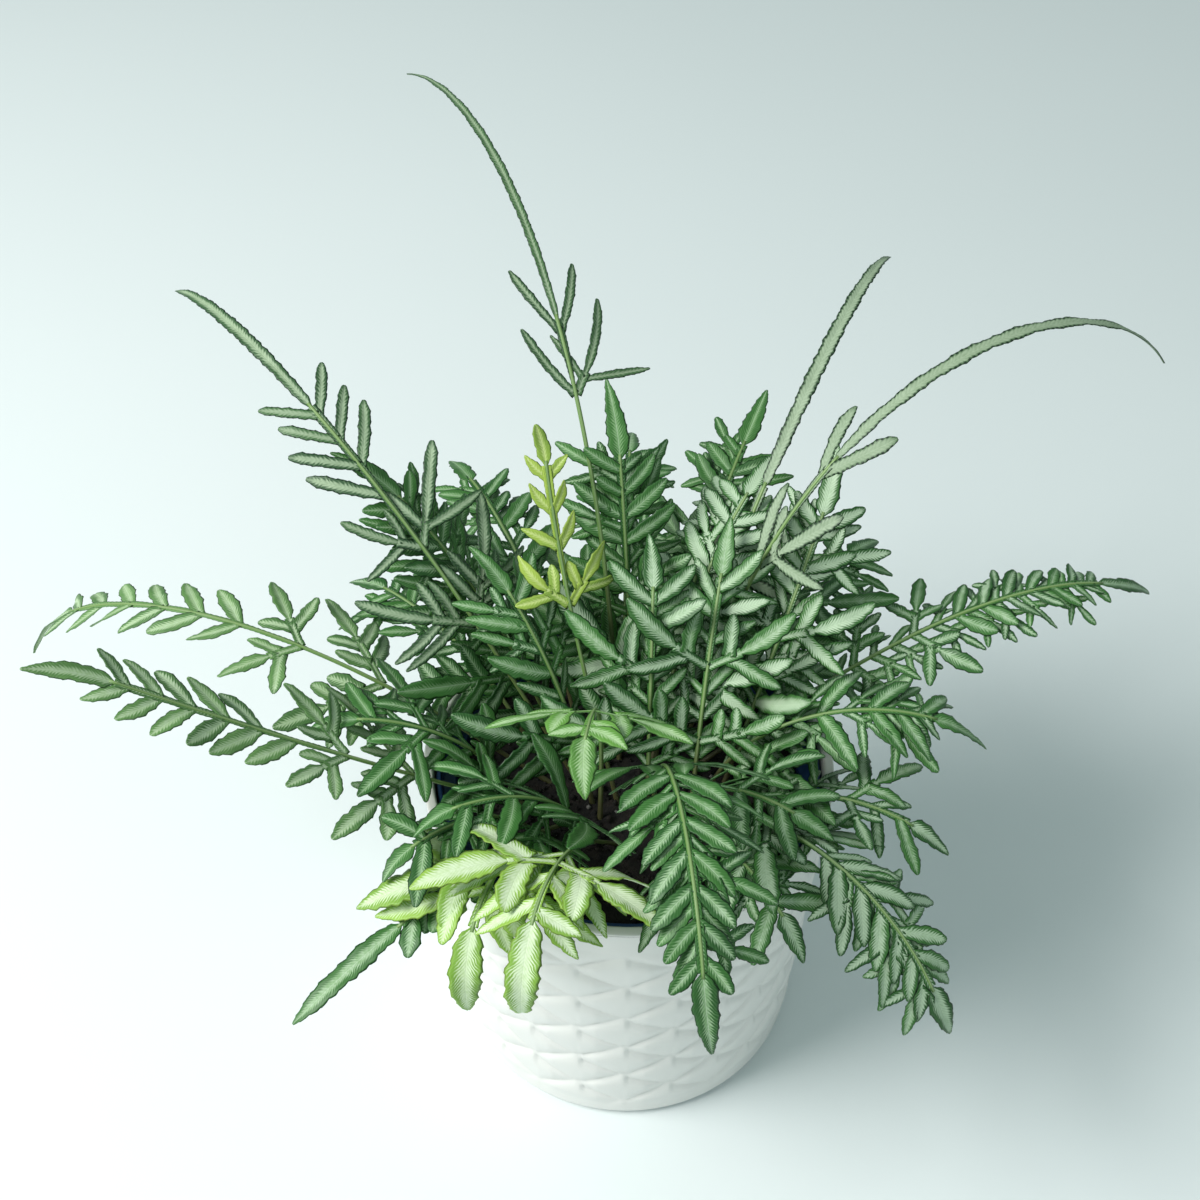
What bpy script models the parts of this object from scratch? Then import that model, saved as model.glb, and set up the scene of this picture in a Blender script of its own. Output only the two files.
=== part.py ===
"""Potted silver lace fern: a fern in a blue nursery pot that stands in a white ceramic
cover pot with a woven relief. Metres, +Z up, origin at the middle of the cover pot's foot.
Seen in the photo's direction the viewer looks along +Y."""

import math
import random
from dataclasses import dataclass

import bpy
import numpy as np
from mathutils.bvhtree import BVHTree

# Cover pot
POT_HEIGHT = 0.130
POT_RIM_RADIUS = 0.0700
POT_BASE_RADIUS = 0.0640
POT_ROUNDING = 0.010
POT_WALL = 0.0036
POT_FLOOR = 0.006
POT_SIDES = 48
RELIEF_DEPTH = 0.0010
RELIEF_COLUMNS = 24
RELIEF_PITCH = 0.0185
RELIEF_BOTTOM = 0.010
RELIEF_TOP = 0.123
RELIEF_ROWS = 12

# Nursery pot
NURSERY_RIM_RADIUS = 0.0655
NURSERY_NECK_RADIUS = 0.0620
NURSERY_BASE_RADIUS = 0.0500
NURSERY_TOP = 0.1275
NURSERY_BAND = 0.010
NURSERY_WALL = 0.0016
NURSERY_SIDES = 28
DRAIN_RADIUS = 0.004
DRAIN_CIRCLE = 0.030
DRAIN_COUNT = 6
DRAIN_SIDES = 8

# Soil
SOIL_LEVEL = 0.118
SOIL_BUMP = 0.0014
SOIL_SIDES = 20
SOIL_RINGS = (0.0, 0.016, 0.032, 0.048)
STEM_HOLE_RADIUS = 0.0019
STEM_HOLE_SIDES = 6
STEM_HOLE_PAST_END = 0.002
STEM_HOLE_OVER_TOP = 0.008
SUNK = 0.012
STEM_CLEAR = 0.004

# Play left between pieces that touch
PLAY = 0.0003

# Fronds: half thicknesses, and how the flat pattern is laid out
STEM_HALF = 0.0008
RACHIS_HALF = 0.0006
BLADE_HALF = 0.00038
MIDRIB_HALF = 0.0010
LEAFLET_FOOT = 0.0034
LEAFLET_STALK = 0.0034
SIDE_LOBE_ANGLE = 56
SIDE_LOBE_WIDTH = 0.84
SIDE_LOBE_LENGTHS = (0.86, 0.62)
SIDE_LOBE_SHORTER = 0.12
LOBE_GAP = 0.0006
LEAST_SQUEEZE = 0.78
MOST_STRETCH = 1.3
STATION_STEP = 0.024
SPINE_STEPS = 60
CURL = 3.0
FROND_PLAY = 0.0005
ANGLE_SPREAD = 5
RISE_SPREAD = 0.12
SIZE_SPREAD = (0.92, 1.05)

# Outlines: width at shares of the length
LOBE_OUTLINE = ((0.62, 1.0),)
BROAD_OUTLINE = ((0.30, 0.86), (0.76, 0.88))
WHIP_OUTLINE = (
    (0.10, 0.84),
    (0.22, 0.95),
    (0.36, 1.0),
    (0.48, 0.98),
    (0.60, 0.93),
    (0.70, 0.85),
    (0.80, 0.74),
    (0.88, 0.58),
    (0.94, 0.40),
)

SEED = 7


@dataclass(frozen=True)
class Form:
    """How one kind of frond is cut: the share of bare stem, the pairs of leaflets, how many
    of them are forked, the sizes, and the share of the length in the end lobe. Lengths in
    millimetres, angles in degrees."""

    stem: float
    pairs: int
    forked: int
    spacing: float
    lobe: float
    width: float
    tip: float
    angle: float
    taper: float
    outline: tuple
    tip_outline: tuple
    colour: tuple


@dataclass(frozen=True)
class Frond:
    """One frond: its form, where it stands and how its spine bends.
    Lengths in millimetres, angles in degrees."""

    name: str
    form: str
    heading: float
    lean: float
    droop: float
    length: float
    foot: tuple
    sweep: float = 0.0
    roll: float = 0.0
    bend: float = 1.4


FORMS = {
    # Upright and narrow, ribbon leaflets on the upper half and a whip at the end
    "fertile": Form(
        0.28, 6, 2, 14.5, 27, 4.8, 0.37, 46, 0.93, BROAD_OUTLINE, WHIP_OUTLINE, (0.10, 0.24, 0.10)
    ),
    # The same with a longer whip and only a few leaflets below it
    "whip": Form(
        0.30, 2, 1, 18.0, 27, 5.4, 0.54, 32, 0.92, BROAD_OUTLINE, WHIP_OUTLINE, (0.09, 0.20, 0.10)
    ),
    # Thinner still, the tallest one
    "tall": Form(
        0.42, 2, 1, 14.0, 27, 3.4, 0.50, 32, 0.92, BROAD_OUTLINE, WHIP_OUTLINE, (0.09, 0.20, 0.10)
    ),
    # Broad and leafy, the lowest leaflets forked
    "leafy": Form(
        0.26, 6, 2, 11.5, 25, 8.6, 0.20, 58, 0.90, LOBE_OUTLINE, BROAD_OUTLINE, (0.13, 0.30, 0.12)
    ),
    # Sparse, arching far out
    "sparse": Form(
        0.30, 8, 2, 15.0, 20, 7.6, 0.15, 46, 0.96, LOBE_OUTLINE, BROAD_OUTLINE, (0.16, 0.34, 0.14)
    ),
    # Thin, arching, with small leaflets
    "thin": Form(
        0.34, 9, 2, 10.5, 17, 6.2, 0.18, 62, 0.93, LOBE_OUTLINE, BROAD_OUTLINE, (0.13, 0.30, 0.12)
    ),
    # Hanging, cut evenly to the tip
    "hanging": Form(
        0.32, 8, 1, 12.0, 25, 8.0, 0.15, 48, 0.91, LOBE_OUTLINE, BROAD_OUTLINE, (0.12, 0.30, 0.11)
    ),
    # A few small leaflets below one long pointed lobe
    "lance": Form(
        0.50, 3, 0, 10.0, 15, 8.4, 0.36, 46, 0.85, LOBE_OUTLINE, WHIP_OUTLINE, (0.13, 0.30, 0.12)
    ),
    # Young and lime green, a hand of broad leaflets
    "lime": Form(
        0.48, 4, 1, 8.0, 28, 10.4, 0.32, 66, 0.95, BROAD_OUTLINE, BROAD_OUTLINE, (0.40, 0.60, 0.08)
    ),
    # Young, just opened
    "young": Form(
        0.66, 3, 1, 5.0, 22, 8.4, 0.18, 72, 0.95, BROAD_OUTLINE, BROAD_OUTLINE, (0.26, 0.50, 0.14)
    ),
    # Still unrolling
    "unrolling": Form(
        0.56, 4, 1, 13.0, 15, 4.8, 0.10, 46, 0.85, LOBE_OUTLINE, LOBE_OUTLINE, (0.45, 0.60, 0.14)
    ),
}

FRONDS = [
    # The ones that make the outline in the photo
    Frond("frond_front_hanging", "hanging", 276, 5, 166, 178, (21, 292), 0, 0, 1.5),
    Frond("frond_right_hanging", "hanging", 315, 28, 135, 142, (30, 318), -6, 0, 1.2),
    Frond("frond_lime_left", "lime", 223, 35, 158, 102, (34, 234), 46, 0, 1.7),
    Frond("frond_lime_right", "lime", 235, 37, 173, 122, (27, 262), 31, 0, 2.5),
    Frond("frond_lime_tip", "lance", 230, 48, 70, 122, (27, 222), -12, 0, 0.8),
    Frond("frond_tall_back", "tall", 99, 13, 103, 315, (11, 105), 19, 0, 1.25),
    Frond("frond_upper_left", "fertile", 156, 29, 93, 253, (18, 176), -33, -15, 1.9),
    Frond("frond_left_low", "sparse", 195, 54, 5, 182, (30, 204), -15, 0, 1.4),
    Frond("frond_left_high", "sparse", 170, 52, 98, 222, (29, 178), -12, 0, 1.8),
    Frond("frond_bright_front", "young", 262, -8, 132, 116, (18, 238), 0, 0, 2.0),
    Frond("frond_unrolling", "unrolling", 128, 21, 18, 135, (9, 245), -29, 0, 1.2),
    Frond("frond_right_broad", "leafy", 2, 12, 118, 116, (28, 352), -10, 0, 1.0),
    Frond("frond_right_thin", "thin", 16, 56, 85, 192, (25, 16), 0, 0, 2.5),
    Frond("frond_whip_inner", "whip", 48, 32, 93, 224, (15, 52), 19, 0, 2.6),
    Frond("frond_whip_outer", "whip", 34, 14, 132, 267, (27, 40), -15, 0, 1.85),
    Frond("frond_silver_right", "leafy", 44, 22, 30, 125, (34, 2), 25, 0, 1.4),
    Frond("frond_silver_middle", "leafy", 66, 8, 85, 136, (9, 10), -8, 0, 1.1),
    # The leafy middle, its faces toward the viewer
    Frond("frond_tall_middle", "leafy", 98, 12, 28, 132, (20, 84), 0, 0, 1.4),
    Frond("frond_left_inner", "leafy", 148, 20, 45, 138, (27, 150), 0, 0, 1.4),
    Frond("frond_middle_left", "leafy", 132, 12, 52, 104, (15, 214), 0, 0, 1.3),
    Frond("frond_middle_right", "leafy", 78, 12, 52, 104, (24, 335), 0, 0, 1.3),
    Frond("frond_middle", "leafy", 88, 8, 58, 100, (13, 300), 0, 0, 1.3),
    # The arching ring round it
    Frond("frond_left_middle", "leafy", 184, 18, 88, 90, (38, 192), 0, 0, 1.3),
    Frond("frond_left_front", "leafy", 216, 18, 104, 76, (39, 218), 0, 0, 1.2),
    Frond("frond_front_left_low", "leafy", 204, 14, 98, 82, (27, 241), 0, 0, 1.2),
    Frond("frond_front_right_low", "leafy", 322, 14, 98, 82, (21, 312), 0, 0, 1.2),
    Frond("frond_right_front", "leafy", 300, 18, 116, 86, (35, 302), 0, 0, 1.2),
    Frond("frond_right_low", "leafy", 337, 30, 104, 86, (39, 338), 0, 0, 1.2),
    Frond("frond_back_dark", "leafy", 65, 22, 60, 132, (29, 66), 0, 0, 1.3),
    Frond("frond_back_right", "leafy", 44, 30, 84, 104, (39, 38), 0, 0, 1.2),
    Frond("frond_back_middle", "leafy", 88, 34, 88, 128, (38, 92), 0, 0, 1.2),
    Frond("frond_back_left", "leafy", 118, 28, 90, 126, (35, 122), 0, 0, 1.2),
    Frond("frond_back_far_left", "leafy", 142, 32, 82, 96, (40, 152), 0, 0, 1.2),
]


# Spines and sheets


class Spine:
    """The curve a frond's middle follows. The direction turns from upright by the lean at
    the foot to lean + droop at the tip, as a power of the distance, while the heading turns
    by the sweep. Before the foot and past the tip it runs on straight."""

    def __init__(self, frond):
        self.length = frond.length / 1000
        share = np.linspace(0, 1, SPINE_STEPS + 1)
        self.tilt = np.radians(frond.lean + frond.droop * share**frond.bend)
        self.heading = np.radians(frond.heading + frond.sweep * share)
        self.distance = share * self.length
        self.roll = math.radians(frond.roll)
        along = self.directions(self.tilt, self.heading)
        steps = (along[1:] + along[:-1]) / 2 * self.length / SPINE_STEPS
        radius, angle = frond.foot[0] / 1000, math.radians(frond.foot[1])
        foot = [radius * math.cos(angle), radius * math.sin(angle), SOIL_LEVEL]
        self.points = foot + np.vstack([np.zeros(3), np.cumsum(steps, axis=0)])

    @staticmethod
    def directions(tilt, heading):
        level = np.sin(tilt)
        return np.stack([level * np.cos(heading), level * np.sin(heading), np.cos(tilt)], axis=-1)

    def frame(self, distance):
        """Point, sideways vector and face vector at each distance."""
        distance = np.asarray(distance, float)
        tilt = np.interp(distance, self.distance, self.tilt)
        heading = np.interp(distance, self.distance, self.heading)
        along = self.directions(tilt, heading)
        side = np.stack([-np.sin(heading), np.cos(heading), 0 * heading], axis=-1)
        face = np.cross(along, side)
        turned = side * math.cos(self.roll) + face * math.sin(self.roll)
        columns = [np.interp(distance, self.distance, self.points[:, k]) for k in range(3)]
        beyond = distance - np.clip(distance, 0, self.length)
        point = np.stack(columns, axis=-1) + along * beyond[:, None]
        return point, turned, np.cross(along, turned)


class Sheet:
    """The middle surface of a frond or leaflet, drawn flat: s runs along the spine and u
    across it. Each point has half a thickness; outlines keeps the convex parts."""

    def __init__(self):
        self.flat = []
        self.half = []
        self.rise = []
        self.faces = []
        self.outlines = []

    def point(self, place, half, rise=0.0):
        self.flat.append(np.array(place, float))
        self.half.append(half)
        self.rise.append(rise)
        return len(self.flat) - 1

    def strip(self, rows):
        """Joins rows of left and right points."""
        for (a, b), (d, c) in zip(rows, rows[1:]):
            self.faces += [(a, b, c), (a, c, d)]

    def lobe(self, low, high, along, length, width, outline, rise=0.0):
        """A lobe on the edge from low to high, as wide as the outline says, with one point
        at its tip."""
        across = sideways(along, self.flat[high] - self.flat[low])
        middle = (self.flat[low] + self.flat[high]) / 2
        rows = [(low, high)]
        for share, wide in outline:
            at = middle + along * length * share
            reach = across * width / 2 * wide
            rows.append(
                (self.point(at - reach, BLADE_HALF, rise), self.point(at + reach, BLADE_HALF, rise))
            )
        tip = self.point(middle + along * length, BLADE_HALF, rise)
        self.strip(rows)
        self.faces.append((*rows[-1], tip))
        around = [row[0] for row in rows] + [tip] + [row[1] for row in rows[::-1]]
        self.outlines.append(np.array([self.flat[k] for k in around]))

    def leaflet(self, low, high, along, form, scale, forks, rise):
        """A leaflet on the edge from low to high. With no forks it is one lobe; else a midrib
        carries pairs of side lobes, the lower ones longer, and a lobe at its end."""
        length = form.lobe / 1000 * scale
        width = form.width / 1000 * (0.3 + 0.7 * scale)
        if not forks:
            self.lobe(low, high, along, length, width, form.outline, rise)
            return
        across = sideways(along, self.flat[high] - self.flat[low])
        middle = (self.flat[low] + self.flat[high]) / 2
        turn = math.radians(SIDE_LOBE_ANGLE)
        pitch = (width * SIDE_LOBE_WIDTH + LOBE_GAP) / math.sin(turn)
        rows = [(low, high)]
        for row in range(forks + 1):
            at = middle + along * (LEAFLET_STALK + row * pitch)
            reach = across * MIDRIB_HALF
            rows.append(
                (self.point(at - reach, BLADE_HALF, rise), self.point(at + reach, BLADE_HALF, rise))
            )
        self.strip(rows)
        around = [low, rows[-1][0], rows[-1][1], high]
        self.outlines.append(np.array([self.flat[k] for k in around]))
        for row in range(1, forks + 1):
            shorter = 1 - SIDE_LOBE_SHORTER * (row - 1)
            for side, reach in enumerate(SIDE_LOBE_LENGTHS):
                away = along * math.cos(turn) + across * math.sin(turn) * (2 * side - 1)
                self.lobe(
                    rows[row][side],
                    rows[row + 1][side],
                    away,
                    length * reach * shorter,
                    width * SIDE_LOBE_WIDTH,
                    LOBE_OUTLINE,
                    rise,
                )
        self.lobe(*rows[-1], along, length, width, form.outline, rise)

    def taken_in(self, other, low, high):
        """Adds another sheet whose first two points are this one's low and high."""
        numbers = [low, high]
        for flat, half, rise in list(zip(other.flat, other.half, other.rise))[2:]:
            numbers.append(self.point(flat, half, rise))
        self.faces += [tuple(numbers[k] for k in face) for face in other.faces]
        self.outlines += other.outlines

    def clears(self, other):
        """Whether the outlines of two flat sheets keep a gap."""
        return all(apart(one, two, LOBE_GAP) for one in self.outlines for two in other.outlines)

    def body(self, spine, play=0.0):
        """The closed body. A point stands on the spine + u sideways + (rise |u| - curl u u)
        along the face; the sheet is then thickened both ways along its normals."""
        flat = np.array(self.flat)
        faces = np.array(self.faces)
        a, b, c = (flat[faces[:, k]] for k in range(3))
        area = (b - a)[:, 0] * (c - a)[:, 1] - (b - a)[:, 1] * (c - a)[:, 0]
        faces[area < 0] = faces[area < 0][:, ::-1]
        s, u = flat.T
        point, side, face = spine.frame(s)
        lift = np.array(self.rise) * np.abs(u) - CURL * u * u
        points = point + side * u[:, None] + face * lift[:, None]
        return thickened(points, np.array(self.half) + play, faces)


def sideways(along, toward):
    """The flat vector at right angles to one, on the side of the other."""
    across = np.array([-along[1], along[0]])
    return across if np.dot(across, toward) > 0 else -across


def apart(one, other, gap):
    """Whether two convex flat outlines are apart by the gap, along any edge's normal."""
    for outline in (one, other):
        edges = np.roll(outline, -1, axis=0) - outline
        normals = np.stack([-edges[:, 1], edges[:, 0]], axis=1)
        normals /= np.linalg.norm(normals, axis=1)[:, None] + 1e-12
        first, second = one @ normals.T, other @ normals.T
        if (first.max(axis=0) + gap <= second.min(axis=0)).any():
            return True
        if (second.max(axis=0) + gap <= first.min(axis=0)).any():
            return True
    return False


def thickened(points, half, faces):
    """A closed body round a sheet: its points pushed both ways along its normals, and walls
    on its open edges."""
    corners = points[faces]
    normals = np.cross(corners[:, 1] - corners[:, 0], corners[:, 2] - corners[:, 0])
    at_points = np.zeros_like(points)
    for corner in range(3):
        np.add.at(at_points, faces[:, corner], normals)
    at_points /= np.linalg.norm(at_points, axis=1)[:, None]
    push = at_points * half[:, None]
    edges = {(int(a), int(b)) for face in faces for a, b in zip(face, np.roll(face, -1))}
    count = len(points)
    walls = []
    for a, b in sorted(edges):
        if (b, a) not in edges:
            walls += [(b, a, a + count), (b, a + count, b + count)]
    both = np.vstack([points + push, points - push])
    return both, np.vstack([faces, faces[:, ::-1] + count, walls])


class Crowd:
    """The bodies already in place, each with its box, to keep new ones clear of them."""

    def __init__(self):
        self.bodies = {}

    def add(self, name, points, faces):
        tree = BVHTree.FromPolygons(points.tolist(), faces.tolist())
        self.bodies[name] = (tree, points.min(axis=0), points.max(axis=0))

    def meets(self, points, faces, skip):
        """Whether a body meets any in place but the one to skip."""
        low, high = points.min(axis=0), points.max(axis=0)
        tree = None
        for name, (other, other_low, other_high) in self.bodies.items():
            if name == skip or (low > other_high).any() or (high < other_low).any():
                continue
            tree = tree or BVHTree.FromPolygons(points.tolist(), faces.tolist())
            if tree.overlap(other):
                return True
        return False


# Growing a frond


def leaflet_places(form, room):
    """For each pair of leaflets: how far up the leafy part it stands, how many forks its
    leaflets have and their scale. Forked leaflets stand further apart. The pairs are
    squeezed together a little to fit, and past that there are fewer of them."""
    for count in range(form.pairs, 0, -1):
        places = []
        at = 0.0
        for pair in range(count):
            forks = max(0, form.forked - pair)
            scale = form.taper**pair
            places.append((at, forks, scale))
            following = max(0, form.forked - pair - 1)
            at += form.spacing / 1000 * (0.3 + 0.7 * scale)
            at += form.lobe / 1000 * scale * (0.40 * (forks > 0) + 0.36 * (following > 0))
        if places[-1][0] * LEAST_SQUEEZE <= room:
            break
    squeeze = min(MOST_STRETCH, room / max(places[-1][0], LOBE_GAP))
    return [(at * squeeze, forks, scale) for at, forks, scale in places]


def stem_strip(sheet, spine, form):
    """The stem and midrib as a strip. Returns the pairs of leaflets with the edges they
    stand on, left and right."""
    start = spine.length * form.stem
    end = spine.length * (1 - form.tip)
    places = leaflet_places(form, end - start - LEAFLET_FOOT)
    stations = [-SUNK, *np.arange(STEM_CLEAR, start - STATION_STEP / 2, STATION_STEP)]
    pairs = []
    for at, forks, scale in places:
        pairs.append((len(stations), forks, scale))
        stations += [start + at - LEAFLET_FOOT / 2, start + at + LEAFLET_FOOT / 2]
    stations.append(max(end, stations[-1] + LEAFLET_FOOT / 2))
    rows = []
    for s in stations:
        half = STEM_HALF + (RACHIS_HALF - STEM_HALF) * max(0.0, s) / spine.length
        rows.append((sheet.point((s, -half), half), sheet.point((s, half), half)))
    sheet.strip(rows)
    return rows, [
        (tuple(zip(rows[first], rows[first + 1])), forks, scale) for first, forks, scale in pairs
    ]


def tries(forks):
    """What a leaflet tries in turn to find room: its size, its bend up or down, its forks."""
    for fewer in range(forks + 1):
        for size in (1.0, 0.86, 0.72, 0.58):
            for bend in (0.0, 0.3, -0.3, 0.6, -0.6):
                yield size, bend, forks - fewer


def bare(frond):
    """The sheet of a frond's stem, midrib and end lobe, and the edges its leaflets stand on."""
    form = FORMS[frond.form]
    spine = Spine(frond)
    sheet = Sheet()
    rows, pairs = stem_strip(sheet, spine, form)
    length = spine.length - sheet.flat[rows[-1][0]][0]
    sheet.lobe(*rows[-1], np.array([1.0, 0.0]), length, form.width / 1000, form.tip_outline)
    return sheet, pairs


def grown(frond, crowd, chance):
    """The body of one frond. Each leaflet is taken in only where it clears the rest of the
    frond and everything in place already."""
    form = FORMS[frond.form]
    spine = Spine(frond)
    sheet, pairs = bare(frond)
    for edges, forks, scale in pairs:
        for side, (low, high) in enumerate(edges):
            angle = math.radians(form.angle + chance.uniform(-ANGLE_SPREAD, ANGLE_SPREAD))
            along = np.array([math.cos(angle), math.sin(angle) * (2 * side - 1)])
            rise = chance.uniform(-RISE_SPREAD, RISE_SPREAD)
            grow = scale * chance.uniform(*SIZE_SPREAD)
            for size, bend, kept in tries(forks):
                limb = Sheet()
                for number in (low, high):
                    limb.point(sheet.flat[number], sheet.half[number])
                limb.leaflet(0, 1, along, form, grow * size, kept, rise + bend)
                if not limb.clears(sheet):
                    continue
                if crowd.meets(*limb.body(spine, FROND_PLAY), frond.name):
                    continue
                sheet.taken_in(limb, low, high)
                break
    return sheet.body(spine)


# Pots and soil


def turned(profile, sides, shift=None):
    """Points and faces of a profile of (radius, height) turned round the middle. Its ends
    lie on the axis. The shift gives how much each point moves outward, from the ring's
    number and the angle."""
    angles = np.arange(sides) * 2 * math.pi / sides
    points = [(0.0, 0.0, profile[0][1])]
    for ring, (radius, height) in enumerate(profile[1:-1], start=1):
        for angle in angles:
            away = radius + (shift(ring, angle) if shift else 0.0)
            points.append((away * math.cos(angle), away * math.sin(angle), height))
    points.append((0.0, 0.0, profile[-1][1]))
    last = len(points) - 1
    faces = []
    for k in range(sides):
        following = (k + 1) % sides
        faces.append((0, 1 + following, 1 + k))
        faces.append((last, last - sides + k, last - sides + following))
        for ring in range(len(profile) - 3):
            a, b = 1 + ring * sides + k, 1 + ring * sides + following
            faces.append((a, b, b + sides, a + sides))
    return points, faces


def pot_radius(height):
    """The cover pot's outer radius at a height above its rounding."""
    share = height / POT_HEIGHT
    return POT_BASE_RADIUS + (POT_RIM_RADIUS - POT_BASE_RADIUS) * share


def cover_pot():
    """The ceramic pot: a flat foot, a rounded edge, a wall with rows of bumps that stand
    half a row higher in every other column, and a rounded rim."""
    profile = [(0.0, 0.0), (POT_BASE_RADIUS - POT_ROUNDING, 0.0)]
    for angle in (30, 62):
        turn = math.radians(angle)
        profile.append(
            (
                POT_BASE_RADIUS - POT_ROUNDING * (1 - math.sin(turn)),
                POT_ROUNDING * (1 - math.cos(turn)),
            )
        )
    first_row = len(profile)
    heights = np.linspace(RELIEF_BOTTOM, RELIEF_TOP, RELIEF_ROWS + 1)
    profile += [(pot_radius(height), height) for height in heights]
    last_row = len(profile) - 1
    rim = POT_RIM_RADIUS
    profile += [
        (rim, POT_HEIGHT - 0.0012),
        (rim - 0.0012, POT_HEIGHT),
        (rim - POT_WALL + 0.0010, POT_HEIGHT),
        (rim - POT_WALL, POT_HEIGHT - 0.0012),
        (pot_radius(0.030) - POT_WALL, 0.030),
        (POT_BASE_RADIUS - POT_WALL - 0.003, POT_FLOOR + 0.004),
        (POT_BASE_RADIUS - POT_WALL - 0.008, POT_FLOOR),
        (0.0, POT_FLOOR),
    ]

    def relief(ring, angle):
        if not first_row < ring < last_row:
            return 0.0
        row = (profile[ring][1] - RELIEF_BOTTOM) / RELIEF_PITCH
        column = angle * RELIEF_COLUMNS / (2 * math.pi)
        return RELIEF_DEPTH * math.cos(math.pi * column) * math.cos(2 * math.pi * row)

    return turned(profile, POT_SIDES, relief)


def nursery_radius(height):
    """The nursery pot's outer radius at a height, below its band."""
    share = (height - POT_FLOOR) / (NURSERY_TOP - POT_FLOOR)
    return NURSERY_BASE_RADIUS + (NURSERY_NECK_RADIUS - NURSERY_BASE_RADIUS) * share


def nursery_pot():
    """The plastic pot: a thin tapered shell with a wider band at its top."""
    bottom = POT_FLOOR + PLAY
    band = NURSERY_TOP - NURSERY_BAND
    wall = NURSERY_WALL
    profile = [
        (0.0, bottom),
        (NURSERY_BASE_RADIUS - 0.0015, bottom),
        (NURSERY_BASE_RADIUS, bottom + 0.0015),
        (nursery_radius(band), band),
        (NURSERY_RIM_RADIUS, band + 0.0008),
        (NURSERY_RIM_RADIUS, NURSERY_TOP - 0.0006),
        (NURSERY_RIM_RADIUS - 0.0006, NURSERY_TOP),
        (NURSERY_RIM_RADIUS - wall, NURSERY_TOP),
        (NURSERY_RIM_RADIUS - wall - 0.0004, band + 0.0030),
        (nursery_radius(band) - wall, band + 0.0014),
        (NURSERY_BASE_RADIUS - wall, bottom + wall + 0.001),
        (0.0, bottom + wall + 0.0002),
    ]
    return turned(profile, NURSERY_SIDES)


def soil_radius(height):
    return nursery_radius(height) - NURSERY_WALL - PLAY - 0.0002


def soil(chance):
    """The soil: it fills the nursery pot to its level, with a slightly uneven top."""
    bottom = POT_FLOOR + 2 * PLAY + NURSERY_WALL + 0.0012
    edge = soil_radius(SOIL_LEVEL - 0.002)
    profile = [(0.0, bottom), (soil_radius(bottom) - 0.001, bottom), (edge, SOIL_LEVEL - 0.002)]
    profile += [(radius, SOIL_LEVEL) for radius in SOIL_RINGS[::-1]]
    points, faces = turned(profile, SOIL_SIDES)
    uneven = []
    for x, y, z in points:
        bump = chance.uniform(-1.0, 0.3) * SOIL_BUMP if z > SOIL_LEVEL - 0.001 else 0.0
        uneven.append((x, y, z + bump))
    return uneven, faces


# Objects


def material_for(name, colour, roughness):
    """A plain material in the piece's own colour."""
    material = bpy.data.materials.new(name)
    material.use_nodes = True
    shader = material.node_tree.nodes["Principled BSDF"]
    shader.inputs["Base Color"].default_value = (*colour, 1.0)
    shader.inputs["Roughness"].default_value = roughness
    material.diffuse_color = (*colour, 1.0)
    return material


def object_from(name, points, faces, colour, roughness, smooth=False):
    """A named object of the points and faces, in metres."""
    mesh = bpy.data.meshes.new(name)
    mesh.from_pydata([tuple(map(float, p)) for p in points], [], [tuple(map(int, f)) for f in faces])
    mesh.update()
    made = bpy.data.objects.new(name, mesh)
    bpy.context.scene.collection.objects.link(made)
    mesh.materials.append(material_for(name, colour, roughness))
    mesh.polygons.foreach_set("use_smooth", [smooth] * len(mesh.polygons))
    return made


def cylinder_points(point, direction, low, high, radius, sides):
    """A closed plain cylinder about a line, from low to high along it."""
    direction = direction / np.linalg.norm(direction)
    side = np.cross(direction, [0.0, 1.0, 0.0])
    side /= np.linalg.norm(side)
    up = np.cross(direction, side)
    points = []
    for at in (low, high):
        for k in range(sides):
            angle = 2 * math.pi * k / sides
            around = side * math.cos(angle) + up * math.sin(angle)
            points.append(point + direction * at + around * radius)
    faces = [tuple(range(sides - 1, -1, -1)), tuple(range(sides, 2 * sides))]
    for k in range(sides):
        following = (k + 1) % sides
        faces.append((k, following, following + sides, k + sides))
    return points, faces


def triangles(faces):
    """The faces, each four-sided one split in two."""
    return np.array([face[:3] for face in faces] + [(*face[2:], face[0]) for face in faces if len(face) == 4])


def drain_holes():
    """The ring of holes in the nursery pot's floor."""
    up = np.array([0.0, 0.0, 1.0])
    holes = []
    for k in range(DRAIN_COUNT):
        angle = 2 * math.pi * k / DRAIN_COUNT
        middle = np.array([math.cos(angle), math.sin(angle), 0.0]) * DRAIN_CIRCLE
        holes.append(cylinder_points(middle, up, POT_FLOOR - 0.001, 0.012, DRAIN_RADIUS, DRAIN_SIDES))
    return holes


def stem_hole(spine):
    """The plain hole a stem stands in, straight along its foot and deeper than it reaches."""
    along = spine.points[1] - spine.points[0]
    return cylinder_points(
        spine.points[0],
        along,
        -SUNK - STEM_HOLE_PAST_END,
        STEM_HOLE_OVER_TOP,
        STEM_HOLE_RADIUS,
        STEM_HOLE_SIDES,
    )


def cut(target, holes):
    """Cuts all the holes, each a set of points and faces, out of the target at once."""
    points, faces = [], []
    for hole_points, hole_faces in holes:
        faces += [tuple(k + len(points) for k in face) for face in hole_faces]
        points += list(hole_points)
    cutter = object_from(target.name + "_holes", points, faces, (0.5, 0.5, 0.5), 0.5)
    cutter.hide_render = True
    cutter.display_type = "WIRE"
    modifier = target.modifiers.new("holes", "BOOLEAN")
    modifier.operation = "DIFFERENCE"
    modifier.solver = "EXACT"
    modifier.object = cutter


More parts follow.
